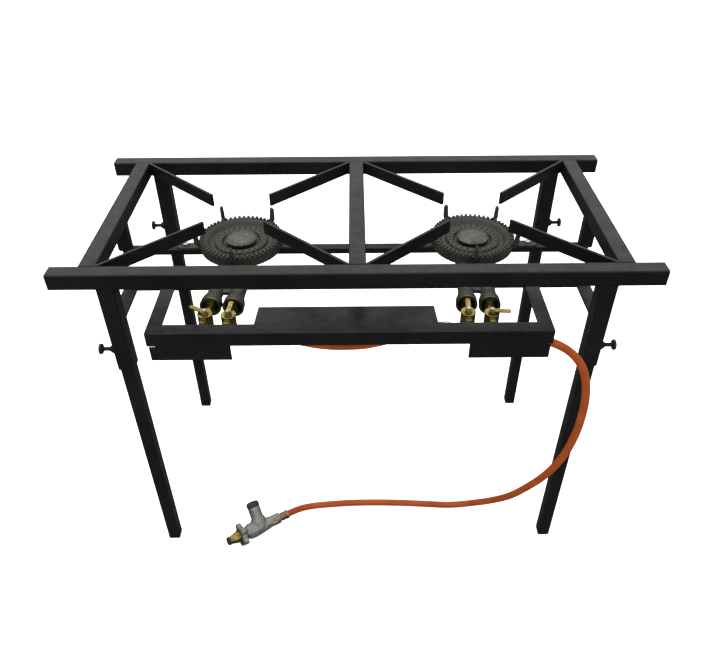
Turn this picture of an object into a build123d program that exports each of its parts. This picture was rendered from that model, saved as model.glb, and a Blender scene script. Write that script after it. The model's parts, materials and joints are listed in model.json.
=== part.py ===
"""Two-burner propane stand: square-tube frame on telescopic legs, two cast-iron ring burners,
brass taps on a small front frame, and an orange gas hose with its regulator on the floor.

Millimetres, +Z up. The origin is on the floor under the middle of the stand, X runs along the
long rails and -Y points at the user, so the taps are at the front.
"""
from build123d import *
import math
import os

os.makedirs("parts", exist_ok=True)

# ---------------------------------------------------------------- driving dimensions
HEIGHT = 730            # floor to the top of the rails and pot supports
LENGTH = 1040           # long rails, end to end: their ends are the carrying handles
TOP_DEPTH = 462         # front face of the front rail to the back face of the back rail
LOWER_REACH = 52        # how far the tap frame stands out in front of the front rail
TUBE = 30               # rail and socket tube, square
TUBE_WALL = 2
TUBE_CORNER = 3
BAY_HALF = 443          # middle of the stand to the inner face of a side rail

front_face = -(TOP_DEPTH + LOWER_REACH) / 2        # front face of the tap frame
rail_front = front_face + LOWER_REACH              # front face of the front rail
rail_back = rail_front + TOP_DEPTH                 # back face of the back rail
front_rail_y = rail_front + TUBE / 2
back_rail_y = rail_back - TUBE / 2
bay_y = (rail_front + rail_back) / 2               # middle of the bays: cross bar and burners
bay_x = (BAY_HALF + TUBE / 2) / 2                  # middle of a bay from the middle rail
rail_z = HEIGHT - TUBE / 2
under_rail = HEIGHT - TUBE
SIDES = {"left": -1, "right": 1}

# pot supports: flat bars on edge from the bay corners towards the burners
BAR_TALL = 25
BAR_THICK = 5
BAR_CLEAR = 78          # burner axis to the end of a bar

# telescopic legs
SOCKET_X = 426
SOCKET_LONG = 178
LEG = 25
LEG_WALL = 1.5
LEG_CORNER = 2.5
LEG_INSERT = 90         # length of leg inside its socket
FOOT = 5                # plastic foot under the leg
FOOT_PLUG = 18
socket_bottom = under_rail - SOCKET_LONG
CORNERS = {
    "front_left": (-SOCKET_X, front_rail_y),
    "front_right": (SOCKET_X, front_rail_y),
    "back_left": (-SOCKET_X, back_rail_y),
    "back_right": (SOCKET_X, back_rail_y),
}

# leg clamp screws
CLAMP_UP = {"front": 38.5, "back": 48}   # above the socket's lower end
STUD_R = 4
STUD_GAP = 0.2          # between the tip and the leg
BOSS_LONG = 9
BOSS_R = 11             # at the socket; the boss tapers to half of it
KNOB_R = 10
KNOB_THICK = 5
CLAMP_REACH = 24        # socket face to the underside of the knob
RUNNING = 0.06          # radial clearance of a turning or sliding fit

# cross bar that carries the burners
CROSS_WIDE = 20
CROSS_TALL = 12
CROSS_HALF = 462.5
CROSS_SHIFT = -2.5      # it is welded on a little to the left
cross_top = HEIGHT - 87.5
HANGER = (25, 20)

# tap frame, welded up a little to the left of the stand's middle
LOWER_SHIFT = -13.5
LOWER_HALF = 344.5
ANGLE_WIDE = 25
ANGLE_TALL = 27
ANGLE_THICK = 3
lower_top = HEIGHT - 83
lower_bottom = lower_top - ANGLE_TALL
lower_back = rail_front + 145
FLAT_WIDE = 25
FLAT_THICK = 5

# burners, local frame: origin on the burner axis at the cross bar's top face, venturis along -Y
RING_R = 81
RING_TOP = 26.5
TEETH = 54
LUGS = 5
LUG_THICK = 6
VENTURI_X = 20.5
VENTURI_Z = -8
VENTURI_R = 14
BELL_R = 19
BELL_Y = -190
EAR_BOLT = 111
EAR_THICK = 5
BOLT_R = 3
BOLT_GAP = 0.1
twist = math.degrees(math.asin(LOWER_SHIFT / -BELL_Y))
BURNERS = {
    side: Location((sign * bay_x, bay_y, cross_top), (0, 0, twist)) for side, sign in SIDES.items()
}

# gas taps, in the burner's local frame
PIPE_R = 6.5
PIPE_Y = -257
PIPE_HALF = 34
BARB = 18
ELBOW = 15              # the outer barb of the right manifold points this far down
TAP_R = 13              # tap bodies, upright
TAP_TALL = 24
TAP_Y = -228            # lever axis
TAP_NUT_R = 9           # hexagons where a tap joins the pipe and its nozzle
TAP_NECK_R = 5.5
LEVER = 28
LEVER_Z = VENTURI_Z + 14
LEVER_GAP = 0.2
NOZZLE_R = 6
NOZZLE_Y = -180
SHUTTER_GAP = 0.4
SHUTTER_THICK = 2

# hoses and regulator
HOSE = 15
CLIP_THICK = 1.2
CLIP_GAP = 0.1
CAP_GAP = 0.2


def save(part, name):
    """Label one finished piece and write it to its own STEP file."""
    part.label = name
    export_step(part, f"parts/{name}.step")


def square_tube(plane, size, wall, corner, length):
    """A rounded square tube that starts on the plane and runs along its normal."""
    with BuildPart() as tube:
        with BuildSketch(plane):
            RectangleRounded(size, size, corner)
            RectangleRounded(size - 2 * wall, size - 2 * wall, corner - wall / 2, mode=Mode.SUBTRACT)
        extrude(amount=length)
    return tube.part


def hose_path_radii(points):
    """Radius of the arc at each inner corner of a hose route, as large as its two runs allow."""
    route = [Vector(*point) for point in points]
    radii = []
    for before, corner, after in zip(route, route[1:], route[2:]):
        turn = (corner - before).get_angle(after - corner)
        shorter = min((corner - before).length, (after - corner).length)
        radii.append(0.45 * shorter / math.tan(math.radians(turn / 2)))
    return radii


def hose(points, name):
    """A round hose along straight runs joined by tangent arcs."""
    radii = hose_path_radii(points)
    with BuildPart() as tube:
        with BuildLine() as path:
            FilletPolyline(*points, radius=radii)
        centre_line = path.wires()[0]
        with BuildSketch(Plane(centre_line @ 0, z_dir=centre_line % 0)):
            Circle(HOSE / 2)
        sweep(path=centre_line)
    length = centre_line.length
    section = math.pi * HOSE**2 / 4
    print(name, "length", round(length, 1), "radii", [round(radius) for radius in radii])
    print(name, "volume over section times length", round(tube.part.volume / (section * length), 4))
    return tube.part


# ---------------------------------------------------------------- top frame
for name, y in {"front_rail": front_rail_y, "back_rail": back_rail_y}.items():
    rail_plane = Plane(origin=(-LENGTH / 2, y, rail_z), x_dir=(0, 1, 0), z_dir=(1, 0, 0))
    save(square_tube(rail_plane, TUBE, TUBE_WALL, TUBE_CORNER, LENGTH), name)

bay_front = rail_front + TUBE
bay_deep = TOP_DEPTH - 2 * TUBE
side_x = BAY_HALF + TUBE / 2
for name, x in {"left_side_rail": -side_x, "middle_rail": 0, "right_side_rail": side_x}.items():
    rail_plane = Plane(origin=(x, bay_front, rail_z), x_dir=(1, 0, 0), z_dir=(0, 1, 0))
    save(square_tube(rail_plane, TUBE, TUBE_WALL, TUBE_CORNER, bay_deep), name)

# four plastic plugs that close the ends of the long rails
plug_size = TUBE - 2 * TUBE_WALL - 0.2
plug_deep = 8
with BuildPart() as rail_end_plugs:
    for x in (-LENGTH / 2, LENGTH / 2 - plug_deep):
        with BuildSketch(Plane.YZ.offset(x)):
            with Locations((front_rail_y, rail_z), (back_rail_y, rail_z)):
                RectangleRounded(plug_size, plug_size, TUBE_CORNER - TUBE_WALL / 2)
        extrude(amount=plug_deep)
save(rail_end_plugs.part, "rail_end_plugs")

# pot supports, four in each bay, cut to the corner of the bay
bay_wide = BAY_HALF - TUBE / 2
bar_far = math.hypot(bay_wide, bay_deep) / 2 + BAR_THICK
bay_mid_y = bay_front + bay_deep / 2
with BuildPart() as pot_supports:
    for sign in (-1, 1):
        for quadrant in range(4):
            corner_x = bay_wide / 2 * (1 if quadrant in (0, 3) else -1)
            corner_y = bay_deep / 2 * (1 if quadrant < 2 else -1)
            angle = math.degrees(math.atan2(corner_y, corner_x))
            bay_plane = Plane(origin=(sign * bay_x, bay_mid_y, HEIGHT - BAR_TALL))
            with BuildSketch(bay_plane):
                with Locations(Rot(0, 0, angle) * Pos((bar_far + BAR_CLEAR) / 2, 0)):
                    Rectangle(bar_far - BAR_CLEAR, BAR_THICK)
                Rectangle(bay_wide, bay_deep, mode=Mode.INTERSECT)
            extrude(amount=BAR_TALL)
save(pot_supports.part, "pot_supports")

# ---------------------------------------------------------------- legs, sockets and clamps
socket_face = SOCKET_X + TUBE / 2


def clamp_plane(corner):
    """The clamp screw of one leg: origin on the leg's axis, normal pointing away from the stand."""
    x, y = CORNERS[corner]
    out = math.copysign(1, x)
    up = CLAMP_UP[corner.split("_")[0]]
    return Plane(origin=(x, y, socket_bottom + up), x_dir=(0, out, 0), z_dir=(out, 0, 0))


for corner, (x, y) in CORNERS.items():
    outward = clamp_plane(corner)

    with BuildPart() as leg_socket:
        add(square_tube(Plane((x, y, socket_bottom)), TUBE, TUBE_WALL, TUBE_CORNER, SOCKET_LONG))
        with BuildSketch(outward):
            Circle(STUD_R + RUNNING)
        extrude(amount=TUBE, mode=Mode.SUBTRACT)
    save(leg_socket.part, f"leg_socket_{corner}")

    leg_top = socket_bottom + LEG_INSERT
    save(square_tube(Plane((x, y, FOOT)), LEG, LEG_WALL, LEG_CORNER, leg_top - FOOT), f"leg_{corner}")

    with BuildPart() as foot:
        with BuildSketch(Plane((x, y, 0))):
            RectangleRounded(LEG, LEG, LEG_CORNER)
        extrude(amount=FOOT)
        chamfer(foot.edges().group_by(Axis.Z)[0], 1.2)
        with BuildSketch(Plane((x, y, FOOT))):
            plug = LEG - 2 * LEG_WALL - 0.2
            RectangleRounded(plug, plug, LEG_CORNER - LEG_WALL / 2)
        extrude(amount=FOOT_PLUG)
    save(foot.part, f"foot_{corner}")

    # threaded stud: its tip stops just short of the leg
    tip = LEG / 2 + STUD_GAP
    knob_seat = TUBE / 2 + CLAMP_REACH
    with BuildPart() as clamp_stud:
        with BuildSketch(outward.offset(tip)):
            Circle(STUD_R)
        extrude(amount=knob_seat - tip)
        chamfer(clamp_stud.edges().sort_by(Axis(outward.origin, outward.z_dir))[0], 0.8)
    save(clamp_stud.part, f"clamp_stud_{corner}")

    # knurled disc head
    with BuildPart() as clamp_knob:
        with BuildSketch(outward.offset(knob_seat)):
            Circle(KNOB_R)
            with PolarLocations(KNOB_R + 0.6, 16):
                Circle(1.1, mode=Mode.SUBTRACT)
        extrude(amount=KNOB_THICK)
    save(clamp_knob.part, f"clamp_knob_{corner}")

# welded threaded bosses, one on each socket
with BuildPart() as clamp_bosses:
    for corner in CORNERS:
        face = clamp_plane(corner).offset(TUBE / 2)
        with BuildSketch(face):
            Circle(BOSS_R)
        with BuildSketch(face.offset(BOSS_LONG)):
            Circle(BOSS_R / 2)
        loft()
        with BuildSketch(face):
            Circle(STUD_R + RUNNING)
        extrude(amount=BOSS_LONG, mode=Mode.SUBTRACT)
save(clamp_bosses.part, "clamp_bosses")

# ---------------------------------------------------------------- cross bar and its hangers
with BuildPart() as cross_bar:
    bar_end = (CROSS_SHIFT - CROSS_HALF, bay_y, cross_top - CROSS_TALL / 2)
    with BuildSketch(Plane(origin=bar_end, x_dir=(0, 1, 0), z_dir=(1, 0, 0))):
        RectangleRounded(CROSS_WIDE, CROSS_TALL, 1.5)
        RectangleRounded(CROSS_WIDE - 3, CROSS_TALL - 3, 0.8, mode=Mode.SUBTRACT)
    extrude(amount=2 * CROSS_HALF)
    with BuildSketch(Plane.XY.offset(cross_top)):
        for sign in SIDES.values():
            with Locations((sign * bay_x - EAR_BOLT, bay_y), (sign * bay_x + EAR_BOLT, bay_y)):
                Circle(BOLT_R + BOLT_GAP)
    extrude(amount=-4, mode=Mode.SUBTRACT)
save(cross_bar.part, "cross_bar")

with BuildPart() as cross_bar_hangers:
    with BuildSketch(Plane.XY.offset(cross_top)):
        with Locations((CROSS_SHIFT - side_x, bay_y), (CROSS_SHIFT + side_x, bay_y)):
            RectangleRounded(*HANGER, 2)
            RectangleRounded(HANGER[0] - 4, HANGER[1] - 4, 1, mode=Mode.SUBTRACT)
    extrude(amount=under_rail - cross_top)
save(cross_bar_hangers.part, "cross_bar_hangers")

# ---------------------------------------------------------------- tap frame under the front rail
lower_left = LOWER_SHIFT - LOWER_HALF
lower_right = LOWER_SHIFT + LOWER_HALF

# front angle, its ends mitred to take the side angles
with BuildPart() as lower_front_rail:
    with BuildSketch(Plane.YZ.offset(lower_left)):
        with Locations((front_face, lower_top)):
            Rectangle(ANGLE_WIDE, ANGLE_THICK, align=(Align.MIN, Align.MAX))
            Rectangle(ANGLE_THICK, ANGLE_TALL, align=(Align.MIN, Align.MAX))
    extrude(amount=2 * LOWER_HALF)
    fillet(lower_front_rail.edges().filter_by(Axis.X).group_by(Axis.Y)[0].sort_by(Axis.Z)[-1], 1.5)
    for end, sign in ((lower_left, 1), (lower_right, -1)):
        split(bisect_by=Plane(origin=(end, front_face, 0), z_dir=(sign, -1, 0)), keep=Keep.TOP)
save(lower_front_rail.part, "lower_front_rail")


def side_angle(end, sign):
    """One side angle of the tap frame, mitred where it meets the front angle."""
    inward = Align.MIN if sign > 0 else Align.MAX
    with BuildPart() as angle_bar:
        with BuildSketch(Plane.XZ.offset(-front_face)):
            with Locations((end, lower_top)):
                Rectangle(ANGLE_WIDE, ANGLE_THICK, align=(inward, Align.MAX))
                Rectangle(ANGLE_THICK, ANGLE_TALL, align=(inward, Align.MAX))
        extrude(amount=front_face - lower_back)
        split(bisect_by=Plane(origin=(end, front_face, 0), z_dir=(-sign, 1, 0)), keep=Keep.TOP)
    return angle_bar.part


with BuildPart() as lower_side_rails:
    add(side_angle(lower_left, 1))
    add(side_angle(lower_right, -1))
save(lower_side_rails.part, "lower_side_rails")

# flat bars that hang the tap frame from the front sockets: a cross bar under its back end
# and a tie to each socket
tie_x = socket_face - FLAT_WIDE / 2
tie_front = rail_front + TUBE
with BuildPart() as lower_rear_bar:
    with BuildSketch(Plane.XY.offset(lower_bottom - FLAT_THICK)):
        with Locations((0, lower_back - FLAT_WIDE / 2)):
            Rectangle(2 * tie_x - FLAT_WIDE, FLAT_WIDE)
    extrude(amount=FLAT_THICK)
save(lower_rear_bar.part, "lower_rear_bar")

with BuildPart() as lower_ties:
    with BuildSketch(Plane.XY.offset(lower_bottom - FLAT_THICK)):
        with Locations((-tie_x, (tie_front + lower_back) / 2), (tie_x, (tie_front + lower_back) / 2)):
            Rectangle(FLAT_WIDE, lower_back - tie_front)
    extrude(amount=FLAT_THICK)
save(lower_ties.part, "lower_ties")

# short angles under the ends of the front angle, open for a few millimetres at the outer end
GUARD_LONG = 138
GUARD_TALL = 31
GUARD_DEEP = 10
GUARD_OPEN = 11
GUARD_INSET = 3
with BuildPart() as valve_guards:
    for end, sign in ((lower_left, 1), (lower_right, -1)):
        middle = end + sign * (GUARD_INSET + GUARD_LONG / 2)
        with BuildSketch(Plane.XY.offset(lower_bottom - GUARD_TALL)):
            with Locations((middle, front_face + ANGLE_THICK / 2)):
                Rectangle(GUARD_LONG, ANGLE_THICK)
        extrude(amount=GUARD_TALL - ANGLE_THICK)
        with BuildSketch(Plane.XY.offset(lower_bottom - ANGLE_THICK)):
            with Locations((middle + sign * GUARD_OPEN / 2, front_face + GUARD_DEEP / 2)):
                Rectangle(GUARD_LONG - GUARD_OPEN, GUARD_DEEP)
        extrude(amount=ANGLE_THICK)
save(valve_guards.part, "valve_guards")

# sheet cover behind the middle of the front angle, over the link hose
SHIELD_HALF = 157
SHIELD_TAPER = 3
SHIELD_DEEP = 49
SHIELD_THICK = 2
SHIELD_TAB = (30, 12)
SHIELD_TAB_X = 70
SHIELD_LIP = 10
shield_x = LOWER_SHIFT - 6.5
shield_front = front_face + ANGLE_WIDE
shield_tabs = ((shield_x - SHIELD_TAB_X, shield_front), (shield_x + SHIELD_TAB_X, shield_front))
with BuildPart() as heat_shield:
    with BuildSketch(Plane.XY.offset(lower_top)):
        with BuildLine():
            Polyline(
                (shield_x - SHIELD_HALF, shield_front),
                (shield_x + SHIELD_HALF, shield_front),
                (shield_x + SHIELD_HALF - SHIELD_TAPER, shield_front + SHIELD_DEEP),
                (shield_x - SHIELD_HALF + SHIELD_TAPER, shield_front + SHIELD_DEEP),
                close=True,
            )
        make_face()
    extrude(amount=-SHIELD_THICK)
    # lip folded down along the back edge
    with BuildSketch(Plane.XY.offset(lower_top - SHIELD_THICK)):
        with Locations((shield_x, shield_front + SHIELD_DEEP)):
            Rectangle(2 * (SHIELD_HALF - SHIELD_TAPER), SHIELD_THICK, align=(Align.CENTER, Align.MAX))
    extrude(amount=-SHIELD_LIP)
    # two joggled tabs that lap under the front angle's flange
    with BuildSketch(Plane.XY.offset(lower_top - SHIELD_THICK)):
        with Locations(*shield_tabs):
            Rectangle(SHIELD_TAB[0], SHIELD_THICK, align=(Align.CENTER, Align.MIN))
    extrude(amount=-ANGLE_THICK)
    with BuildSketch(Plane.XY.offset(lower_top - ANGLE_THICK)):
        with Locations(*shield_tabs):
            Rectangle(*SHIELD_TAB, align=(Align.CENTER, Align.MAX))
    extrude(amount=-SHIELD_THICK)
save(heat_shield.part, "heat_shield")

# ---------------------------------------------------------------- ring burners
with BuildPart() as burner:
    # bowl, outer flame ring and inner ring in one casting
    with BuildSketch(Plane.XZ):
        with BuildLine():
            Polyline(
                (0, 0),
                (RING_R - 4, 0),
                (RING_R - 1, 3),
                (RING_R, RING_TOP),
                (RING_R - 8, RING_TOP),
                (RING_R - 15, RING_TOP - 6),
                (60, 12),
                (53, 12),
                (51, 18),
                (45, 19.5),
                (38, 17),
                (36, 11),
                (0, 11),
                close=True,
            )
        make_face()
    revolve(axis=Axis.Z)
    # flame slots round the outer ring
    with BuildSketch(Plane.XY.offset(RING_TOP)):
        with PolarLocations(RING_R, TEETH):
            Rectangle(20, 0.45 * 2 * math.pi * RING_R / TEETH)
    extrude(amount=-4.5, mode=Mode.SUBTRACT)
    # flame slots round the inner ring
    with BuildSketch(Plane.XY.offset(20)):
        with PolarLocations(46, 24):
            Rectangle(20, 3)
    extrude(amount=-4, mode=Mode.SUBTRACT)
    # boss that centres the inner cap
    with BuildSketch(Plane.XY.offset(11)):
        Circle(9)
    extrude(amount=3)
    # plenum under the front of the bowl, and the web between the venturis
    with BuildSketch(Plane.XY.offset(VENTURI_Z - 11)):
        with Locations((0, -50)):
            RectangleRounded(2 * (VENTURI_X + 13), 50, 9)
    extrude(amount=24)
    with BuildSketch(Plane.XY.offset(VENTURI_Z - 4)):
        with Locations((0, -110)):
            Rectangle(2 * VENTURI_X, 82)
    extrude(amount=8)
    # two venturi tubes that flare to bells
    for x in (-VENTURI_X, VENTURI_X):
        with BuildSketch(Plane(origin=(x, 0, 0), x_dir=(0, 1, 0), z_dir=(1, 0, 0))):
            with BuildLine():
                Polyline(
                    (-60, VENTURI_Z),
                    (-60, VENTURI_Z + VENTURI_R),
                    (-160, VENTURI_Z + VENTURI_R),
                    (-178, VENTURI_Z + BELL_R),
                    (BELL_Y, VENTURI_Z + BELL_R),
                    (BELL_Y, VENTURI_Z + BELL_R - 3.5),
                    (-176, VENTURI_Z + BELL_R - 4.5),
                    (-158, VENTURI_Z + VENTURI_R - 4),
                    (-80, VENTURI_Z + VENTURI_R - 5),
                    (-80, VENTURI_Z),
                    close=True,
                )
            make_face()
        revolve(axis=Axis((x, 0, VENTURI_Z), (0, 1, 0)))
    # mounting ears, in line with the cross bar, with their bolt holes
    with BuildSketch(Plane(origin=(0, 0, 0), x_dir=Vector(1, 0, 0).rotate(Axis.Z, -twist))):
        for sign in (-1, 1):
            with Locations((sign * 90, 0)):
                Rectangle(60, CROSS_WIDE)
            with Locations((sign * 120, 0)):
                Circle(CROSS_WIDE / 2)
        with Locations((-EAR_BOLT, 0), (EAR_BOLT, 0)):
            Circle(BOLT_R + BOLT_GAP, mode=Mode.SUBTRACT)
    extrude(amount=EAR_THICK)
    # upright lugs round the rim, the first one at the front
    for turn in range(LUGS):
        angle = math.radians(270 + turn * 360 / LUGS)
        radial = (math.cos(angle), math.sin(angle), 0)
        with BuildSketch(Plane(origin=(0, 0, 0), x_dir=radial, z_dir=(radial[1], -radial[0], 0))):
            with BuildLine():
                Polyline((75, 9), (82, 9), (92, 24), (92, 45), (88, 52), (84, 48), (81, 24), close=True)
            make_face()
        extrude(amount=LUG_THICK / 2, both=True)

# domed inner cap with radial flame slots
with BuildPart() as burner_cap:
    with BuildSketch(Plane.XZ):
        with BuildLine():
            Polyline((6, 27.5), (0, 27.5), (0, 14), (27, 14), (31, 17), (31, 21), (27, 23.5))
            ThreePointArc((27, 23.5), (17, 26.4), (6, 27.5))
        make_face()
    revolve(axis=Axis.Z)
    with BuildSketch(Plane.XY.offset(14)):
        with PolarLocations(29, 16):
            Rectangle(14, 2.6)
    extrude(amount=6, mode=Mode.SUBTRACT)

for side, place in BURNERS.items():
    save(burner.part.moved(place), f"burner_{side}")
    save(burner_cap.part.moved(place), f"burner_cap_{side}")

# ---------------------------------------------------------------- air shutters and gas taps
# a shutter turns on the nozzle in front of its bell; modelled on the Y axis
with BuildPart() as air_shutter:
    with BuildSketch(Plane.XZ.offset(SHUTTER_GAP - BELL_Y)):
        Circle(BELL_R + 0.5)
        Circle(NOZZLE_R + RUNNING, mode=Mode.SUBTRACT)
        for start in (-38, 142):
            SlotArc(CenterArc((0, 0), 12, start, 76), 6, mode=Mode.SUBTRACT)
    extrude(amount=SHUTTER_THICK)
    with BuildSketch(Plane.XZ.offset(SHUTTER_GAP + SHUTTER_THICK - BELL_Y)):
        Circle(NOZZLE_R + 2.5)
        Circle(NOZZLE_R + RUNNING, mode=Mode.SUBTRACT)
    extrude(amount=3)

# manifold pipe with two taps, each with its nozzle in a bell
with BuildPart() as gas_manifold:
    with BuildSketch(Plane.YZ.offset(-PIPE_HALF)):
        with Locations((PIPE_Y, VENTURI_Z)):
            Circle(PIPE_R)
    extrude(amount=2 * PIPE_HALF)
    for x in (-VENTURI_X, VENTURI_X):
        with BuildSketch(Plane(origin=(x, 0, 0), x_dir=(0, 1, 0), z_dir=(1, 0, 0))):
            with BuildLine():
                Polyline(
                    (PIPE_Y, VENTURI_Z),
                    (PIPE_Y, VENTURI_Z + NOZZLE_R),
                    (NOZZLE_Y - 6, VENTURI_Z + NOZZLE_R),
                    (NOZZLE_Y, VENTURI_Z + NOZZLE_R / 2),
                    (NOZZLE_Y, VENTURI_Z),
                    close=True,
                )
            make_face()
        revolve(axis=Axis((x, 0, VENTURI_Z), (0, 1, 0)))
        # tap body, the neck that carries its lever, and a hexagon on each side of the body
        with BuildSketch(Plane.XY.offset(VENTURI_Z - TAP_TALL / 2)):
            with Locations((x, TAP_Y)):
                Circle(TAP_R)
        extrude(amount=TAP_TALL)
        with BuildSketch(Plane.XY.offset(VENTURI_Z)):
            with Locations((x, TAP_Y)):
                Circle(TAP_NECK_R)
        extrude(amount=LEVER_Z - VENTURI_Z)
        with BuildSketch(Plane.XZ.offset(-TAP_Y)):
            with Locations((x, VENTURI_Z)):
                RegularPolygon(TAP_NUT_R, 6)
        extrude(amount=TAP_R + 8, both=True)

# hose barb on the end of a manifold, along +X
with BuildPart() as barb:
    with BuildSketch(Plane.XZ):
        with BuildLine():
            Polyline(
                (0, 0), (0, 7.5), (7, 7.5), (7, 5), (BARB - 2, 5), (BARB - 2, 7), (BARB, 7), (BARB, 0),
                close=True,
            )
        make_face()
    revolve(axis=Axis.X)

pipe_right = Location((PIPE_HALF, PIPE_Y, VENTURI_Z))
pipe_left = Location((-PIPE_HALF, PIPE_Y, VENTURI_Z))
link_start = BURNERS["left"] * pipe_right
link_end = BURNERS["right"] * pipe_left * Location((0, 0, 0), (0, 0, 180))
hose_start = BURNERS["right"] * pipe_right * Location((0, 0, 0), (0, ELBOW, 0))

# the left manifold has a barb on its inner end and a hexagon plug on its outer end
with BuildPart() as manifold_left:
    add(gas_manifold.part.moved(BURNERS["left"]))
    add(barb.part.moved(link_start))
    with BuildSketch(Plane(BURNERS["left"] * pipe_left * Location((0, 0, 0), (0, 90, 0)))):
        RegularPolygon(7.8, 6)
    extrude(amount=-7)
save(manifold_left.part, "gas_manifold_left")

# the right manifold has a barb on each end, the outer one turned down by an elbow
with BuildPart() as manifold_right:
    add(gas_manifold.part.moved(BURNERS["right"]))
    add(barb.part.moved(link_end))
    add(barb.part.moved(hose_start))
    with Locations(hose_start):
        Sphere(8)
save(manifold_right.part, "gas_manifold_right")

# flat brass lever with a round hub, pointing along +X from its own axis
with BuildPart() as tap_lever:
    with BuildSketch(Plane.XY.offset(LEVER_GAP)):
        Circle(6.5)
        with Locations((LEVER / 2, 0)):
            SlotOverall(LEVER + 8, 8)
    extrude(amount=3)
    with BuildSketch(Plane.XY.offset(LEVER_GAP + 3)):
        Circle(4.5)
    extrude(amount=2.5)

# each lever's direction at rest: the outer ones stick out sideways, the inner ones lie back
LEVERS = {
    "left_outer": ("left", -VENTURI_X, 155),
    "left_inner": ("left", VENTURI_X, 90),
    "right_inner": ("right", -VENTURI_X, 90),
    "right_outer": ("right", VENTURI_X, 0),
}
for name, (side, x, heading) in LEVERS.items():
    pivot = BURNERS[side] * Location((x, TAP_Y, LEVER_Z), (0, 0, heading))
    save(tap_lever.part.moved(pivot), f"tap_lever_{name}")
    save(air_shutter.part.moved(BURNERS[side] * Location((x, 0, VENTURI_Z))), f"air_shutter_{name}")
    bell = BURNERS[side] * Location((x, BELL_Y, VENTURI_Z))
    print(name, "lever axis", pivot.position)
    print(name, "shutter axis", bell.position)

# bolts that hold the burners' ears to the cross bar
with BuildPart() as fixing_bolts:
    for place in BURNERS.values():
        for x in (-EAR_BOLT, EAR_BOLT):
            seat = place * Location((0, 0, 0), (0, 0, -twist)) * Location((x, 0, EAR_THICK))
            with BuildSketch(Plane(seat)):
                RegularPolygon(6, 6)
            extrude(amount=4)
            with BuildSketch(Plane(seat)):
                Circle(BOLT_R)
            extrude(amount=-EAR_THICK - 3.5)
save(fixing_bolts.part, "fixing_bolts")

# ---------------------------------------------------------------- hoses
def along(place, distance):
    """A point on the X axis of a place, as a tuple."""
    point = (place * Location((distance, 0, 0))).position
    return (point.X, point.Y, point.Z)


# link hose: sags under the front angle between the two manifolds
link_route = [
    along(link_start, BARB),
    along(link_start, BARB + 34),
    (-112, -236, 615),
    (-55, -234, 599),
    (14, -231, 597),
    (75, -227.5, 614),
    along(link_end, BARB + 34),
    along(link_end, BARB),
]
save(hose(link_route, "link_hose"), "link_hose")

# gas hose: out under the right side angle, down past the front right leg, along the floor to
# the regulator
FLOOR_LINE = HOSE / 2 + 0.3
regulator_tail = (-169, -148, 14)
regulator_nose = (-295.5, -236, 32.5)
towards_nose = (Vector(*regulator_nose) - Vector(*regulator_tail)).normalized()
last_bend = Vector(*regulator_tail) - towards_nose * 28
gas_route = [
    along(hose_start, BARB),
    along(hose_start, BARB + 40),
    (338, -237.5, 606),
    (368, -241, 590.5),
    (391, -247.5, 567),
    (404, -252.5, 538),
    (411, -256.5, 503),
    (413, -261, 467),
    (409, -267, 409),
    (396, -268, 344),
    (376, -252, 269),
    (354, -222, 194),
    (334, -187, 121),
    (305, -150, 59),
    (270, -130, 25),
    (218, -124, 9.5),
    (150, -117, FLOOR_LINE),
    (70, -112.5, FLOOR_LINE),
    (-10, -112, FLOOR_LINE),
    (-75, -116.5, FLOOR_LINE),
    (-118, -122, 8.5),
    (last_bend.X, last_bend.Y, last_bend.Z),
    regulator_tail,
]
save(hose(gas_route, "gas_hose"), "gas_hose")

# spring-steel band clips round the ends of the hoses at the barbs
with BuildPart() as hose_clips:
    for place in (link_start, link_end, hose_start):
        with BuildSketch(Plane(place * Location((BARB + 4, 0, 0), (0, 90, 0)))):
            Circle(HOSE / 2 + CLIP_THICK)
            with Locations((0, HOSE / 2 + 2)):
                Rectangle(7, 6)
            Circle(HOSE / 2 + CLIP_GAP, mode=Mode.SUBTRACT)
        extrude(amount=9)
save(hose_clips.part, "hose_clips")

# ---------------------------------------------------------------- regulator on the floor
# profiles are drawn in a plane through its axis: X from the hose end towards the nose
BODY_START = 20
BODY_END = 112
WHEEL_START = 113.5
WHEEL_THICK = 11
SHANK_R = 9
BONNET_AT = 72
BONNET_R = 14
BONNET_LONG = 50
CAP_LONG = 9
PORT_AT = 33
PORT_R = 8.5
PORT_LONG = 14.5
reg_axis = Axis(regulator_tail, towards_nose)
level = Vector(-towards_nose.Y, towards_nose.X, 0).normalized()
reg_profile = Plane(origin=regulator_tail, x_dir=towards_nose, z_dir=level)
bonnet_base = reg_axis.position + towards_nose * BONNET_AT
bonnet = Plane(origin=bonnet_base, z_dir=(-0.321, 0.557, 0.766))
port = Plane(origin=reg_axis.position + towards_nose * PORT_AT, z_dir=(0.12, -0.59, 0.8))

# copper-coloured union nut and ferrule on the end of the hose
with BuildPart() as hose_ferrule:
    with BuildSketch(reg_profile):
        with BuildLine():
            Polyline(
                (0, 0), (0, 10), (4, 10), (6, 8.5), (8, 9.5), (16, 9.5), (BODY_START, 8), (BODY_START, 0),
                close=True,
            )
        make_face()
    revolve(axis=reg_axis)
save(hose_ferrule.part, "hose_ferrule")

# cast body with its slanted bonnet and a plugged side port
with BuildPart() as regulator_body:
    with BuildSketch(reg_profile):
        with BuildLine():
            Polyline(
                (BODY_START, 0),
                (BODY_START, 9),
                (23, 12.5),
                (36, 12.5),
                (42, 12),
                (62, 15),
                (86, 18),
                (100, 17.5),
                (BODY_END, 12),
                (BODY_END, 0),
                close=True,
            )
        make_face()
    revolve(axis=reg_axis)
    with BuildSketch(bonnet):
        Circle(BONNET_R)
    extrude(amount=BONNET_LONG)
    with BuildSketch(bonnet):
        Circle(BONNET_R + 3)
    extrude(amount=21)
    with BuildSketch(port):
        Circle(PORT_R)
    extrude(amount=PORT_LONG)
save(regulator_body.part, "regulator_body")

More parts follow.
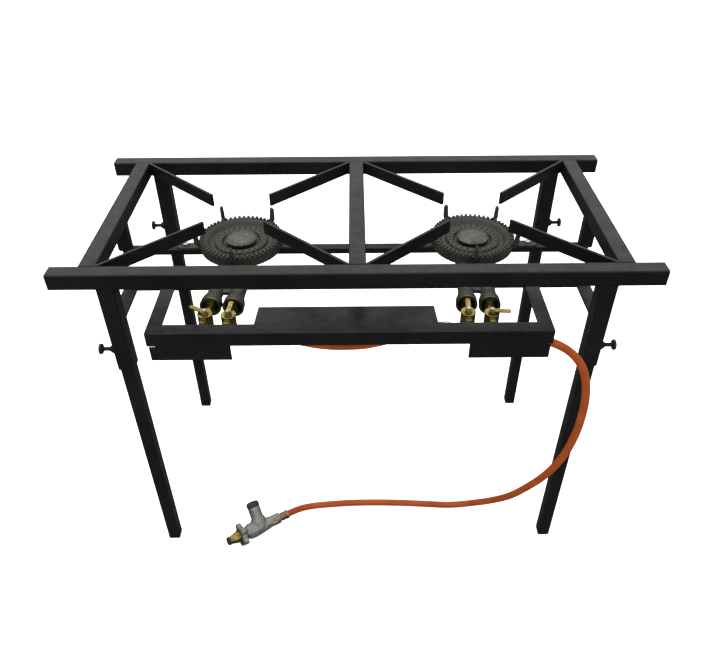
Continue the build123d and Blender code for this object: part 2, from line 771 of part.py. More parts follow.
# adjusting cap on the bonnet
with BuildPart() as adjuster_cap:
    with BuildSketch(bonnet.offset(BONNET_LONG + CAP_GAP)):
        Circle(BONNET_R + 0.5)
    extrude(amount=CAP_LONG)
    chamfer(adjuster_cap.edges().sort_by(Axis(bonnet_base, bonnet.z_dir))[-1], 1.5)
save(adjuster_cap.part, "adjuster_cap")

# bullnose connector: shank through the wheel, collar, tapered nose
with BuildPart() as bullnose:
    with BuildSketch(reg_profile):
        with BuildLine():
            Polyline(
                (BODY_END, 0),
                (BODY_END, SHANK_R),
                (126, SHANK_R),
                (126, 12.5),
                (133, 12.5),
                (146, 9),
                (149, 9),
                (149, 0),
                close=True,
            )
        make_face()
    revolve(axis=reg_axis)
save(bullnose.part, "bullnose")

with BuildPart() as nose_seal:
    with BuildSketch(reg_profile):
        with BuildLine():
            Polyline((149, 0), (149, 9.5), (153, 9.5), (155, 8), (155, 0), close=True)
        make_face()
    revolve(axis=reg_axis)
save(nose_seal.part, "nose_seal")

# lobed hand wheel that turns on the shank
with BuildPart() as hand_wheel:
    wheel_face = Plane(origin=reg_axis.position + towards_nose * WHEEL_START, z_dir=towards_nose)
    with BuildSketch(wheel_face):
        Circle(20)
        with PolarLocations(19, 5):
            Circle(8)
        Circle(SHANK_R + RUNNING, mode=Mode.SUBTRACT)
    extrude(amount=WHEEL_THICK)
    chamfer(hand_wheel.edges().filter_by(GeomType.CIRCLE).group_by(SortBy.RADIUS)[0], 0.8)
save(hand_wheel.part, "hand_wheel")
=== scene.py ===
"""Looks for the two-burner propane stand: materials, castings, hose, threads, welds and the stage.

Metres, in the CAD model's own frame: +Z up, floor at Z 0, the user at -Y.
"""

import json
import math

import bmesh
import bpy
from mathutils import Matrix, Vector, noise


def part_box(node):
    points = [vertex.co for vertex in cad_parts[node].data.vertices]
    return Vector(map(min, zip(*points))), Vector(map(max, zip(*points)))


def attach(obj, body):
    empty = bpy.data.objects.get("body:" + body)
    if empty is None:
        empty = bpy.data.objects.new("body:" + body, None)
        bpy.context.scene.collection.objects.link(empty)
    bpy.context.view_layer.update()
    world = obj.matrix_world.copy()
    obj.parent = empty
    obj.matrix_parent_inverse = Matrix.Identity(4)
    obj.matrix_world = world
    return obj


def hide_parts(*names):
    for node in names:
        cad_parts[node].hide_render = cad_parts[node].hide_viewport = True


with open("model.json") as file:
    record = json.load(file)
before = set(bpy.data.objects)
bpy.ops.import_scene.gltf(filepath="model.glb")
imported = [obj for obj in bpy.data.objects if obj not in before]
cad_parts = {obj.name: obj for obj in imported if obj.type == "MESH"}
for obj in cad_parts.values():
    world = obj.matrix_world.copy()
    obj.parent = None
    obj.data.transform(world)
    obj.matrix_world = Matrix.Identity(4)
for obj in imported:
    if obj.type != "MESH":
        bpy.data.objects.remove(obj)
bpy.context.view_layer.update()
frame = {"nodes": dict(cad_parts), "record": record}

CORNERS = ("front_left", "front_right", "back_left", "back_right")
TAPS = ("left_outer", "left_inner", "right_inner", "right_outer")
SIDES = ("left", "right")

# ---------------------------------------------------------------- camera
CAMERA_AT = (-0.00285, -1.15875, 1.3655)
CAMERA_PITCH = 38.341
CAMERA_YAW = 0.391
CAMERA_ROLL = -0.2265
CAMERA_LENS = 34.503


def add_camera():
    """The camera at the height and distance that give the stand its perspective."""
    pitch, yaw, roll = (math.radians(angle) for angle in (CAMERA_PITCH, CAMERA_YAW, CAMERA_ROLL))
    look = Vector((math.sin(yaw) * math.cos(pitch), math.cos(yaw) * math.cos(pitch), -math.sin(pitch)))
    right = Vector((math.cos(yaw), -math.sin(yaw), 0))
    up = right.cross(look)
    tilted_right = math.cos(roll) * right + math.sin(roll) * up
    tilted_up = math.cos(roll) * up - math.sin(roll) * right
    turn = Matrix((tilted_right, tilted_up, -look)).transposed().to_4x4()
    data = bpy.data.cameras.new("camera")
    data.lens = CAMERA_LENS
    data.sensor_width = 36
    camera = bpy.data.objects.new("camera", data)
    camera.matrix_world = Matrix.Translation(CAMERA_AT) @ turn
    bpy.context.scene.collection.objects.link(camera)
    bpy.context.scene.camera = camera


add_camera()

# ---------------------------------------------------------------- gas hose
HOSE_DIAMETER = 0.015
HOSE_EXIT = (0.261996, -0.234002, 0.629841)
HOSE_TAIL = (-0.169, -0.148, 0.014)
GAS_ROUTE = (
    HOSE_EXIT,
    (0.300536, -0.236747, 0.619488),
    (0.338, -0.2375, 0.606),
    (0.368, -0.241, 0.5905),
    (0.391, -0.2475, 0.567),
    (0.404, -0.2525, 0.538),
    (0.411, -0.2565, 0.503),
    (0.413, -0.261, 0.467),
    (0.409, -0.267, 0.409),
    (0.396, -0.268, 0.344),
    (0.376, -0.252, 0.269),
    (0.354, -0.222, 0.194),
    (0.334, -0.187, 0.121),
    (0.305, -0.150, 0.059),
    (0.270, -0.130, 0.025),
    (0.218, -0.124, 0.0095),
    (0.150, -0.117, 0.0078),
    (0.070, -0.1125, 0.0078),
    (-0.010, -0.112, 0.0078),
    (-0.075, -0.1165, 0.0078),
    (-0.118, -0.122, 0.0085),
    (-0.146179, -0.132124, 0.010662),
    HOSE_TAIL,
)


def nurbs_hose(name, route, diameter):
    """A round hose on one smooth NURBS line through the route's corners."""
    curve = bpy.data.curves.new(name, "CURVE")
    curve.dimensions = "3D"
    spline = curve.splines.new("NURBS")
    spline.points.add(len(route) - 1)
    for point, place in zip(spline.points, route):
        point.co = (*place, 1)
    spline.order_u = 3
    spline.use_endpoint_u = True
    spline.resolution_u = 10
    curve.bevel_depth = diameter / 2
    curve.bevel_resolution = 8
    curve.use_fill_caps = True
    piece = bpy.data.objects.new(name, curve)
    bpy.context.scene.collection.objects.link(piece)
    return piece


gas_hose = nurbs_hose("gas_hose_tube", GAS_ROUTE, HOSE_DIAMETER)
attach(gas_hose, "stand")
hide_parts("gas_hose")


# ---------------------------------------------------------------- materials
class Finish:
    """A Principled material and short helpers for the nodes around it."""

    def __init__(self, name, colour, roughness, metallic=0.0, **sockets):
        self.material = bpy.data.materials.new(name)
        self.material.use_nodes = True
        self.material.diffuse_color = (*colour, 1)
        self.tree = self.material.node_tree
        self.surface = self.tree.nodes["Principled BSDF"]
        self.surface.inputs["Base Color"].default_value = (*colour, 1)
        self.surface.inputs["Roughness"].default_value = roughness
        self.surface.inputs["Metallic"].default_value = metallic
        for socket, value in sockets.items():
            self.surface.inputs[socket.replace("_", " ")].default_value = value
        self.place = self.node("ShaderNodeTexCoord").outputs["Object"]

    def node(self, kind, inputs=None, **settings):
        """A new node, its settings, and its inputs as links or values."""
        made = self.tree.nodes.new(kind)
        for key, value in settings.items():
            setattr(made, key, value)
        for key, value in (inputs or {}).items():
            if isinstance(value, bpy.types.NodeSocket):
                self.tree.links.new(value, made.inputs[key])
            else:
                made.inputs[key].default_value = value
        return made

    def noise(self, scale, detail=3.0, rough=0.55):
        """Noise of that many features to the metre."""
        inputs = {"Vector": self.place, "Scale": scale, "Detail": detail, "Roughness": rough}
        return self.node("ShaderNodeTexNoise", inputs).outputs["Fac"]

    def ramp(self, value, low, high, to_low=0.0, to_high=1.0):
        """A value from one range carried to another, clamped."""
        inputs = {"Value": value, "From Min": low, "From Max": high, "To Min": to_low, "To Max": to_high}
        return self.node("ShaderNodeMapRange", inputs).outputs["Result"]

    def maths(self, operation, a, b):
        """One sum on two values or sockets."""
        return self.node("ShaderNodeMath", {0: a, 1: b}, operation=operation).outputs["Value"]

    def colours(self, factor, first, second):
        """A mix of two colours, each a tuple or a socket."""
        mix = self.node("ShaderNodeMix", {"Factor": factor}, data_type="RGBA")
        for slot, colour in (("A", first), ("B", second)):
            socket = next(i for i in mix.inputs if i.name == slot and i.type == "RGBA")
            if isinstance(colour, bpy.types.NodeSocket):
                self.tree.links.new(colour, socket)
            else:
                socket.default_value = (*colour, 1)
        return next(o for o in mix.outputs if o.type == "RGBA")

    def edges(self, radius, low, high):
        """1 on sharp edges and 0 on flats, from a bevelled normal against the true one."""
        soft = self.node("ShaderNodeBevel", {"Radius": radius}, samples=4).outputs["Normal"]
        true = self.node("ShaderNodeNewGeometry").outputs["Normal"]
        dot = self.node("ShaderNodeVectorMath", {0: soft, 1: true}, operation="DOT_PRODUCT").outputs["Value"]
        return self.ramp(dot, high, low)

    def colour(self, socket):
        """Drive the base colour."""
        self.tree.links.new(socket, self.surface.inputs["Base Color"])

    def roughness(self, socket):
        """Drive the roughness."""
        self.tree.links.new(socket, self.surface.inputs["Roughness"])

    def bump(self, height, distance, strength=1.0, rounded=None):
        """Relief of that many metres, over edges rounded to a radius."""
        inputs = {"Height": height, "Distance": distance, "Strength": strength}
        if rounded:
            inputs["Normal"] = self.node("ShaderNodeBevel", {"Radius": rounded}, samples=4).outputs["Normal"]
        bump = self.node("ShaderNodeBump", inputs)
        self.tree.links.new(bump.outputs["Normal"], self.surface.inputs["Normal"])


def frame_paint():
    """Black stoving paint: orange peel, dust on level faces, thin wear on edges."""
    finish = Finish("black_frame_paint", (0.006, 0.006, 0.0062), 0.34, Specular_IOR_Level=0.11)
    peel = finish.noise(420, 2)
    patches = finish.noise(9, 4)
    dust = finish.noise(60, 5, 0.7)
    level = finish.node("ShaderNodeSeparateXYZ", {0: finish.node("ShaderNodeNewGeometry").outputs["Normal"]})
    upward = finish.ramp(level.outputs["Z"], 0.6, 1.0)
    settled = finish.maths("MULTIPLY", upward, finish.ramp(dust, 0.35, 0.75, 0.1, 0.8))
    body = finish.colours(finish.ramp(patches, 0.35, 0.7), (0.0048, 0.0048, 0.005), (0.0085, 0.0085, 0.0085))
    dusty = finish.colours(settled, body, (0.023, 0.023, 0.021))
    worn = finish.maths("MULTIPLY", finish.edges(0.0012, 0.80, 0.97), finish.ramp(dust, 0.5, 0.62, 0, 0.55))
    finish.colour(finish.colours(worn, dusty, (0.045, 0.042, 0.038)))
    finish.roughness(finish.ramp(finish.noise(35, 5), 0.3, 0.7, 0.27, 0.42))
    finish.bump(peel, 0.00004, 0.35, rounded=0.0007)
    return finish.material


def black_plastic():
    """Moulded plastic of the feet, rail plugs and adjusting cap, lightly scuffed."""
    finish = Finish("black_moulded_plastic", (0.012, 0.012, 0.012), 0.5, Specular_IOR_Level=0.35)
    scuffs = finish.noise(90, 6, 0.7)
    scuffed = finish.ramp(scuffs, 0.45, 0.75)
    finish.colour(finish.colours(scuffed, (0.009, 0.009, 0.0095), (0.026, 0.026, 0.025)))
    finish.roughness(finish.ramp(scuffs, 0.3, 0.7, 0.42, 0.62))
    finish.bump(finish.noise(1400, 2), 0.00003, 0.5, rounded=0.0005)
    return finish.material


def black_steel():
    """Blackened steel of the clamp screws, bare on its edges."""
    finish = Finish("blackened_steel", (0.02, 0.02, 0.021), 0.36, 0.6)
    patches = finish.ramp(finish.noise(300, 4), 0.4, 0.6)
    worn = finish.maths("MULTIPLY", finish.edges(0.0005, 0.82, 0.97), patches)
    finish.colour(finish.colours(worn, (0.013, 0.013, 0.014), (0.10, 0.095, 0.09)))
    finish.roughness(finish.ramp(finish.noise(120, 4), 0.3, 0.7, 0.3, 0.48))
    finish.bump(finish.noise(900, 3), 0.00003, 0.5, rounded=0.0004)
    return finish.material


def cast_iron():
    """Sand-cast iron with a thin olive-grey coat, paler where it is handled, with painted shade darkening its
    hollows.
    """
    finish = Finish("sand_cast_iron", (0.025, 0.026, 0.021), 0.6, 0.1, Specular_IOR_Level=0.3)
    grain = finish.noise(650, 5, 0.65)
    sand = finish.node("ShaderNodeTexVoronoi", {"Vector": finish.place, "Scale": 900.0}).outputs["Distance"]
    patches = finish.noise(28, 5, 0.6)
    coat = finish.colours(finish.ramp(patches, 0.35, 0.68), (0.014, 0.015, 0.011), (0.030, 0.031, 0.024))
    speckled = finish.colours(finish.ramp(grain, 0.5, 0.78, 0, 0.7), coat, (0.055, 0.055, 0.045))
    # Painted shade: ambient occlusion blends the colour towards near-black in hollows and creases.
    painted_shade_in_hollows = finish.node("ShaderNodeAmbientOcclusion", {"Distance": 0.006}, samples=6).outputs["AO"]
    finish.colour(finish.colours(finish.ramp(painted_shade_in_hollows, 0.35, 0.9, 1, 0), speckled, (0.008, 0.008, 0.007)))
    finish.roughness(finish.ramp(patches, 0.3, 0.7, 0.44, 0.66))
    height = finish.maths("ADD", finish.maths("MULTIPLY", grain, 0.7), finish.maths("MULTIPLY", sand, 0.5))
    finish.bump(height, 0.00035, 0.6)
    return finish.material


def burner_cap():
    """Cast cap with a slight polish: smudged, and paler where it is rubbed."""
    finish = Finish("turned_cap", (0.03, 0.03, 0.026), 0.34, 0.25, Specular_IOR_Level=0.5)
    smudge = finish.noise(130, 5, 0.65)
    rubbed = finish.colours(finish.ramp(smudge, 0.38, 0.62), (0.012, 0.0125, 0.010), (0.042, 0.042, 0.036))
    finish.colour(rubbed)
    finish.roughness(finish.ramp(smudge, 0.3, 0.7, 0.5, 0.3))
    finish.bump(finish.noise(700, 4), 0.0002, 0.5)
    return finish.material


def metal(name, dark, light, roughness, grain=500.0, bump=0.00006, edge=None):
    """A bare or plated metal with tarnish, fine tool marks and brighter edges."""
    finish = Finish(name, light, roughness, 1.0)
    tarnish = finish.noise(70, 5, 0.65)
    base = finish.colours(finish.ramp(tarnish, 0.35, 0.65), dark, light)
    if edge:
        base = finish.colours(finish.edges(0.0006, 0.8, 0.98), base, edge)
    finish.colour(base)
    finish.roughness(finish.ramp(finish.noise(grain / 2, 4), 0.3, 0.7, roughness - 0.07, roughness + 0.12))
    finish.bump(finish.noise(grain, 4), bump, 0.5, rounded=0.0004)
    return finish.material


def zinc_casting():
    """Die-cast zinc: satin grey, with painted shade darkening its hollows, and fine pits."""
    finish = Finish("die_cast_zinc", (0.30, 0.30, 0.285), 0.42, 0.7, Specular_IOR_Level=0.5)
    cloud = finish.noise(55, 4, 0.6)
    pits = finish.noise(800, 3, 0.6)
    base = finish.colours(finish.ramp(cloud, 0.35, 0.65), (0.115, 0.118, 0.112), (0.235, 0.23, 0.218))
    pitted = finish.colours(finish.ramp(pits, 0.62, 0.78, 0, 0.5), base, (0.07, 0.07, 0.067))
    # Painted shade: ambient occlusion blends the colour towards dark grey in hollows and creases.
    painted_shade_in_hollows = finish.node("ShaderNodeAmbientOcclusion", {"Distance": 0.008}, samples=6).outputs["AO"]
    finish.colour(finish.colours(finish.ramp(painted_shade_in_hollows, 0.4, 0.9, 0.75, 0), pitted, (0.03, 0.028, 0.026)))
    finish.roughness(finish.ramp(cloud, 0.3, 0.7, 0.36, 0.5))
    finish.bump(pits, 0.00008, 0.5)
    return finish.material


def orange_rubber():
    """Orange gas hose: satin rubber with paler scuffs."""
    finish = Finish("orange_gas_hose", (0.26, 0.045, 0.003), 0.42, Specular_IOR_Level=0.16)
    cloud = finish.noise(24, 4, 0.6)
    scuff = finish.noise(260, 6, 0.7)
    base = finish.colours(finish.ramp(cloud, 0.35, 0.65), (0.22, 0.036, 0.002), (0.30, 0.054, 0.004))
    finish.colour(finish.colours(finish.ramp(scuff, 0.58, 0.78, 0, 0.3), base, (0.38, 0.10, 0.02)))
    finish.roughness(finish.ramp(scuff, 0.3, 0.7, 0.34, 0.52))
    finish.bump(finish.noise(1600, 2), 0.00004, 0.5)
    return finish.material


def black_rubber():
    """Dusty black rubber of the connector's seal."""
    finish = Finish("black_rubber", (0.01, 0.01, 0.011), 0.6, Specular_IOR_Level=0.3)
    dusting = finish.noise(200, 5, 0.7)
    finish.colour(finish.colours(finish.ramp(dusting, 0.5, 0.75), (0.008, 0.008, 0.009), (0.03, 0.03, 0.029)))
    finish.bump(finish.noise(1200, 2), 0.00004, 0.5)
    return finish.material


MATERIALS = {
    "frame_paint": frame_paint(),
    "black_plastic": black_plastic(),
    "black_steel": black_steel(),
    "cast_iron": cast_iron(),
    "burner_cap": burner_cap(),
    "brass": metal("machined_brass", (0.11, 0.075, 0.02), (0.30, 0.235, 0.07), 0.3, edge=(0.50, 0.42, 0.20)),
    "shutter_plate": metal("passivated_plate", (0.07, 0.068, 0.03), (0.17, 0.165, 0.075), 0.36),
    "zinc_steel": metal("zinc_plated_steel", (0.30, 0.30, 0.30), (0.58, 0.58, 0.57), 0.3),
    "orange_rubber": orange_rubber(),
    "copper_plate": metal("copper_plate", (0.11, 0.055, 0.035), (0.28, 0.155, 0.10), 0.36),
    "zinc_casting": zinc_casting(),
    "black_rubber": black_rubber(),
}

for part in frame["record"]["subparts"]:
    data = frame["nodes"][part["node"]].data
    data.materials.clear()
    data.materials.append(MATERIALS[part["material_slot"]])

gas_hose.data.materials.append(MATERIALS["orange_rubber"])


# ---------------------------------------------------------------- mesh helpers
def piece_from(name, mesh, body, slot, replaced=()):
    """Link a mesh as a named piece that rides on a body and takes its finish from a slot."""
    mesh.name = name
    piece = bpy.data.objects.new(name, mesh)
    bpy.context.scene.collection.objects.link(piece)
    mesh.materials.clear()
    mesh.materials.append(MATERIALS[slot])
    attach(piece, body)
    if replaced:
        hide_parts(*replaced)
    return piece


def baked(obj):
    """The object's mesh with its modifiers applied; the object itself is removed."""
    bpy.context.view_layer.update()
    evaluated = obj.evaluated_get(bpy.context.evaluated_depsgraph_get())
    mesh = bpy.data.meshes.new_from_object(evaluated)
    bpy.data.objects.remove(obj)
    return mesh


def cast_mesh(node, voxel, smoothing, roughen, grain):
    """A CAD node's shape as a casting: edges rounded, inner corners filled, skin slightly uneven."""
    copy = bpy.data.objects.new("cast_copy", frame["nodes"][node].data.copy())
    bpy.context.scene.collection.objects.link(copy)
    remesh = copy.modifiers.new("remesh", "REMESH")
    remesh.mode = "VOXEL"
    remesh.voxel_size = voxel
    smooth = copy.modifiers.new("smooth", "SMOOTH")
    smooth.factor = 0.5
    smooth.iterations = smoothing
    mesh = baked(copy)
    normals = [vertex.normal.copy() for vertex in mesh.vertices]
    for vertex, normal in zip(mesh.vertices, normals):
        uneven = noise.fractal(vertex.co * grain, 0.9, 2.1, 3)
        vertex.co += normal * uneven * roughen
    mesh.shade_smooth()
    return mesh


def grid_mesh(rows):
    """A closed mesh from rows of points, each row a ring, capped at both ends."""
    mesh = bpy.data.meshes.new("grid")
    width = len(rows[0])
    verts = [point for row in rows for point in row]
    faces = []
    for row in range(len(rows) - 1):
        first, second = row * width, (row + 1) * width
        for step in range(width):
            after = (step + 1) % width
            faces.append((first + step, first + after, second + after, second + step))
    faces.append(tuple(range(width))[::-1])
    faces.append(tuple(range((len(rows) - 1) * width, len(rows) * width)))
    mesh.from_pydata(verts, [], faces)
    mesh.validate()
    return mesh


def axis_matrix(origin, axis):
    """A frame whose X axis points along axis."""
    x = Vector(axis).normalized()
    side = Vector((0, 0, 1)).cross(x)
    y = side.normalized() if side.length > 0.001 else Vector((0, 1, 0))
    z = x.cross(y)
    turn = Matrix((x, y, z)).transposed().to_4x4()
    return Matrix.Translation(origin) @ turn


def lathe_mesh(place, radius_at, stations, around=48):
    """A turned shape: radius_at(distance, angle) gives its radius along the place's X axis."""
    rows = []
    for distance in stations:
        row = []
        for step in range(around):
            angle = 2 * math.pi * step / around
            radius = radius_at(distance, angle)
            row.append(place @ Vector((distance, radius * math.cos(angle), radius * math.sin(angle))))
        rows.append(row)
    return grid_mesh(rows)


def joined(meshes):
    """Several meshes as one."""
    whole = bmesh.new()
    for mesh in meshes:
        whole.from_mesh(mesh)
        bpy.data.meshes.remove(mesh)
    result = bpy.data.meshes.new("joined")
    whole.to_mesh(result)
    whole.free()
    return result


# ---------------------------------------------------------------- castings
# voxel, smoothing passes, roughness of the skin and its features to the metre
BURNER_CAST = (0.0011, 3, 0.00016, 900)
REGULATOR_CAST = (0.0008, 9, 0.00005, 300)
WHEEL_CAST = (0.0006, 5, 0.00004, 300)

for side in SIDES:
    ring = cast_mesh(f"burner_{side}", *BURNER_CAST)
    piece_from(f"burner_{side}_casting", ring, "stand", "cast_iron", [f"burner_{side}"])
regulator = cast_mesh("regulator_body", *REGULATOR_CAST)
piece_from("regulator_casting", regulator, "stand", "zinc_casting", ["regulator_body"])
wheel = cast_mesh("hand_wheel", *WHEEL_CAST)
piece_from("hand_wheel_casting", wheel, "hand_wheel", "zinc_casting", ["hand_wheel"])

# ---------------------------------------------------------------- leg clamps
THREAD_PITCH = 0.00125
THREAD_DEPTH = 0.0006
THREAD_STEPS = 8            # rings to a turn
STUD_RADIUS = 0.004
STUD_SKIN = 0.00002         # keeps the crests just inside the CAD stud


def thread_radius(distance, angle):
    """Radius of a V thread at a distance along the stud."""
    turn = (distance / THREAD_PITCH - angle / (2 * math.pi)) % 1
    return STUD_RADIUS - STUD_SKIN - THREAD_DEPTH * abs(2 * turn - 1)


def clamp_place(node, corner):
    """Where a clamp piece starts, with X pointing away from the stand, and its length."""
    outward = -1 if "left" in corner else 1
    low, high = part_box(node)
    middle = (low + high) / 2
    start = low.x if outward > 0 else high.x
    return axis_matrix((start, middle.y, middle.z), (outward, 0, 0)), high.x - low.x


for corner in CORNERS:
    stud_node = f"clamp_stud_{corner}"
    place, long = clamp_place(stud_node, corner)
    count = round(long / THREAD_PITCH * THREAD_STEPS)
    stations = [long * step / count for step in range(count + 1)]
    stud = lathe_mesh(place, thread_radius, stations, 32)
    piece_from(f"clamp_thread_{corner}", stud, stud_node, "black_steel", [stud_node])

# knurled heads with rounded rims
KNOB_RADIUS = 0.00995
KNOB_RIM = 0.0009
KNOB_GROOVE = 0.0009
KNOB_RIDGES = 16
KNOB_STEPS = 14             # rings from face to face, closest together at the rims


def knob_mesh(place, long):
    """A disc with a ridged edge."""

    def knob_radius(distance, angle):
        """Radius of the ridged rim, rounded towards both faces."""
        inset = max(KNOB_RIM - distance, distance - (long - KNOB_RIM), 0)
        rounded = KNOB_RIM - math.sqrt(max(KNOB_RIM**2 - inset**2, 0))
        groove = KNOB_GROOVE * (0.5 + 0.5 * math.cos(KNOB_RIDGES * angle)) ** 2
        return KNOB_RADIUS - rounded - groove

    steps = range(KNOB_STEPS + 1)
    stations = [long * (0.5 - 0.5 * math.cos(math.pi * step / KNOB_STEPS)) for step in steps]
    return lathe_mesh(place, knob_radius, stations, KNOB_RIDGES * 12)


for corner in CORNERS:
    knob_node = f"clamp_knob_{corner}"
    knob = knob_mesh(*clamp_place(knob_node, corner))
    piece_from(f"clamp_grip_{corner}", knob, knob_node, "black_steel", [knob_node])

# ---------------------------------------------------------------- welds
BEAD_RIPPLE = 0.0021         # from one ripple to the next
BEAD_FINE = 0.0017          # radii of the beads
BEAD_MIDDLE = 0.002
BEAD_HEAVY = 0.0022
BEAD_INSET = 0.002          # from the end of a bead to the corner of its joint
BAR_SIDE = 0.0042           # bay corner to the side of a pot support
BAR_WELD = (0.001, 0.022)   # the ends of a pot support's bead above its lower edge
FLAT_WIDE = 0.025           # hangers and ties


def bead_mesh(start, end, radius):
    """A rippled weld bead between two points, thinning out at its ends."""
    start, end = Vector(start), Vector(end)
    long = (end - start).length
    count = max(8, round(long / BEAD_RIPPLE * 6))

    def bead_radius(distance, angle):
        ripple = 0.13 * math.sin(2 * math.pi * distance / BEAD_RIPPLE + angle)
        uneven = 0.2 * noise.noise((start + (end - start) * (distance / long)) * 250)
        taper = min(1, (min(distance, long - distance) + 0.0004) / 0.002)
        return radius * (1 + ripple + uneven) * taper

    stations = [long * step / count for step in range(count + 1)]
    return lathe_mesh(axis_matrix(start, end - start), bead_radius, stations, 12)


def across(left, right, y, z, radius):
    """A weld along X, a little short of both ends of its joint."""
    return (left + BEAD_INSET, y, z), (right - BEAD_INSET, y, z), radius


def weld_lines():
    """The start, end and radius of every weld on the frame."""
    lines = []
    for rail in ("left_side_rail", "middle_rail", "right_side_rail"):
        low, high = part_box(rail)
        for x in (low.x, high.x):
            for y in (low.y, high.y):
                lines.append(((x, y, low.z + BEAD_INSET), (x, y, high.z - 0.003), BEAD_MIDDLE))
    for corner in CORNERS:
        low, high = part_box(f"leg_socket_{corner}")
        inner_y = high.y if "front" in corner else low.y
        lines.append(across(low.x, high.x, inner_y, high.z, BEAD_HEAVY))
        for x in (low.x, high.x):
            start, end = (x, low.y + BEAD_INSET, high.z), (x, high.y - BEAD_INSET, high.z)
            lines.append((start, end, BEAD_HEAVY))
    left, middle, right = (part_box(rail) for rail in ("left_side_rail", "middle_rail", "right_side_rail"))
    front, back = left[0].y, left[1].y
    bays = ((left[1].x, middle[0].x), (middle[1].x, right[0].x))
    bar_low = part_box("pot_supports")[0].z
    for bay in bays:
        for x, into_x in zip(bay, (1, -1)):
            for y, into_y in ((front, 1), (back, -1)):
                for spot in ((x + BAR_SIDE * into_x, y), (x, y + BAR_SIDE * into_y)):
                    start, end = ((*spot, bar_low + up) for up in BAR_WELD)
                    lines.append((start, end, BEAD_FINE))
    low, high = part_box("cross_bar_hangers")
    for x in (low.x, high.x - FLAT_WIDE):
        for z in (low.z, high.z):
            for y in (low.y, high.y):
                lines.append(across(x, x + FLAT_WIDE, y, z, BEAD_FINE))
    low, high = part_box("lower_ties")
    for x in (low.x, high.x - FLAT_WIDE):
        for y in (low.y, high.y):
            lines.append(across(x, x + FLAT_WIDE, y, high.z, BEAD_FINE))
    return lines


welds = joined([bead_mesh(*line) for line in weld_lines()])
welds.shade_smooth()
piece_from("weld_beads", welds, "stand", "frame_paint")


# ---------------------------------------------------------------- small turned pieces
def stepped_mesh(place, profile, around=40):
    """A turned shape from (distance, radius) pairs along the place's X axis."""
    radii = dict(profile)
    return lathe_mesh(place, lambda distance, angle: radii[distance], [pair[0] for pair in profile], around)


# dome screws that hold the levers
SCREW_PROFILE = ((0.0, 0.0034), (0.0006, 0.0034), (0.0011, 0.0029), (0.0014, 0.0019), (0.0016, 0.0004))
joint_at = {joint["name"]: joint.get("pos_m") for joint in frame["record"]["behaviour"]["joints"]}
for tap in TAPS:
    hub_x, hub_y = joint_at[f"tap_{tap}"][:2]
    hub_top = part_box(f"tap_lever_{tap}")[1].z
    place = axis_matrix((hub_x, hub_y, hub_top), (0, 0, 1))
    piece_from(f"lever_screw_{tap}", stepped_mesh(place, SCREW_PROFILE), f"tap_lever_{tap}", "zinc_steel")

# copper-coloured plug in the regulator's side port
PORT_AT = 0.033
PORT_FACE = 0.0145
PORT_DIRECTION = (0.12, -0.59, 0.8)
NOSE_END = (-0.2955, -0.236, 0.0325)
PLUG_PROFILE = (
    (0.0, 0.0050),
    (0.0008, 0.0050),
    (0.0012, 0.0044),
    (0.00121, 0.0028),
    (0.0004, 0.0025),
    (0.00041, 0.0002),
)
towards_nose = (Vector(NOSE_END) - Vector(HOSE_TAIL)).normalized()
port_axis = Vector(PORT_DIRECTION).normalized()
port_face = Vector(HOSE_TAIL) + towards_nose * PORT_AT + port_axis * PORT_FACE
plug = stepped_mesh(axis_matrix(port_face, port_axis), PLUG_PROFILE)
piece_from("port_plug", plug, "stand", "copper_plate")


# ---------------------------------------------------------------- stage
FLOOR_HALF = 30
FLOOR_GREY = (0.62, 0.62, 0.62)
FLOOR_IN_GLOSS = (0.07, 0.07, 0.07)
FLOOR_GLOW = 0.85
SKY_STRENGTH = 2.2


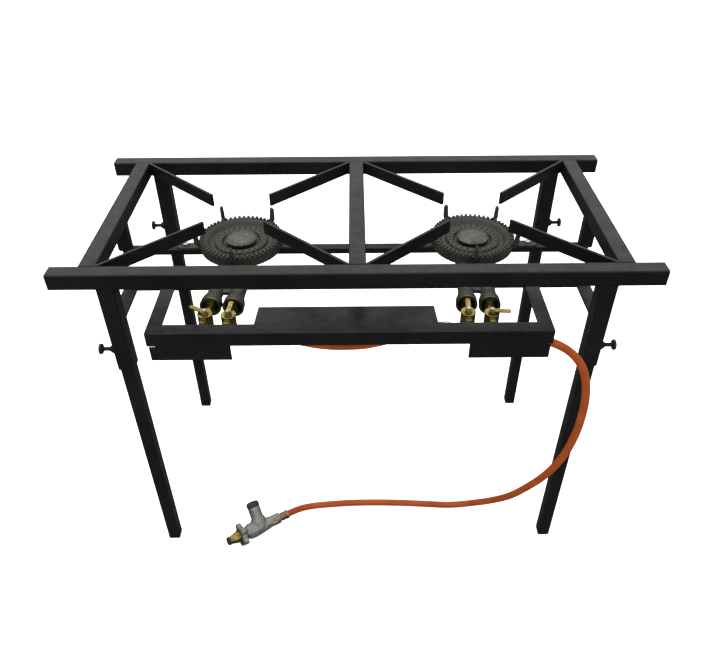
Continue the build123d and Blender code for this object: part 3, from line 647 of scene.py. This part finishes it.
def add_floor():
    """A wide floor, white to the camera and dark in the stand's reflections."""
    corners = [(-1, -1), (1, -1), (1, 1), (-1, 1)]
    mesh = bpy.data.meshes.new("floor")
    mesh.from_pydata([(x * FLOOR_HALF, y * FLOOR_HALF, 0) for x, y in corners], [], [(0, 1, 2, 3)])
    floor = bpy.data.objects.new("floor", mesh)
    finish = Finish("studio_floor", FLOOR_GREY, 0.9, Specular_IOR_Level=0.0)
    glossy = finish.node("ShaderNodeLightPath").outputs["Is Glossy Ray"]
    finish.colour(finish.colours(glossy, FLOOR_GREY, FLOOR_IN_GLOSS))
    seen = finish.node("ShaderNodeLightPath").outputs["Is Camera Ray"]
    finish.surface.inputs["Emission Color"].default_value = (1, 1, 1, 1)
    glow = finish.maths("MULTIPLY", seen, FLOOR_GLOW)
    finish.tree.links.new(glow, finish.surface.inputs["Emission Strength"])
    mesh.materials.append(finish.material)
    bpy.context.scene.collection.objects.link(floor)


def add_sky():
    """A soft studio: brightest in a band part way up, dimmer at the horizon and overhead."""
    world = bpy.data.worlds.new("studio")
    bpy.context.scene.world = world
    world.use_nodes = True
    tree = world.node_tree
    direction = tree.nodes.new("ShaderNodeTexCoord").outputs["Generated"]
    split = tree.nodes.new("ShaderNodeSeparateXYZ")
    tree.links.new(direction, split.inputs[0])
    ramp = tree.nodes.new("ShaderNodeValToRGB")
    tree.links.new(split.outputs["Z"], ramp.inputs["Fac"])
    bands = ((0.0, 0.30), (0.28, 0.32), (0.50, 1.0), (0.80, 1.0), (1.0, 0.45))
    elements = ramp.color_ramp.elements
    while len(elements) < len(bands):
        elements.new(0.5)
    for element, (place, value) in zip(elements, bands):
        element.position = place
        element.color = (value, value, value, 1)
    background = tree.nodes["Background"]
    tree.links.new(ramp.outputs["Color"], background.inputs["Color"])
    background.inputs["Strength"].default_value = SKY_STRENGTH


def add_area(name, place, target, size, power):
    """A rectangular lamp at a place, facing a target."""
    data = bpy.data.lights.new(name, "AREA")
    data.shape = "RECTANGLE"
    data.size, data.size_y = size
    data.energy = power
    lamp = bpy.data.objects.new(name, data)
    lamp.location = place
    lamp.rotation_mode = "QUATERNION"
    lamp.rotation_quaternion = (Vector(target) - Vector(place)).to_track_quat("-Z", "Y")
    bpy.context.scene.collection.objects.link(lamp)


add_floor()
add_sky()
add_area("overhead_softbox", (-0.6, 0.3, 3.2), (0, 0, 0.4), (2.4, 1.6), 30)
bpy.context.scene.view_settings.view_transform = "Standard"
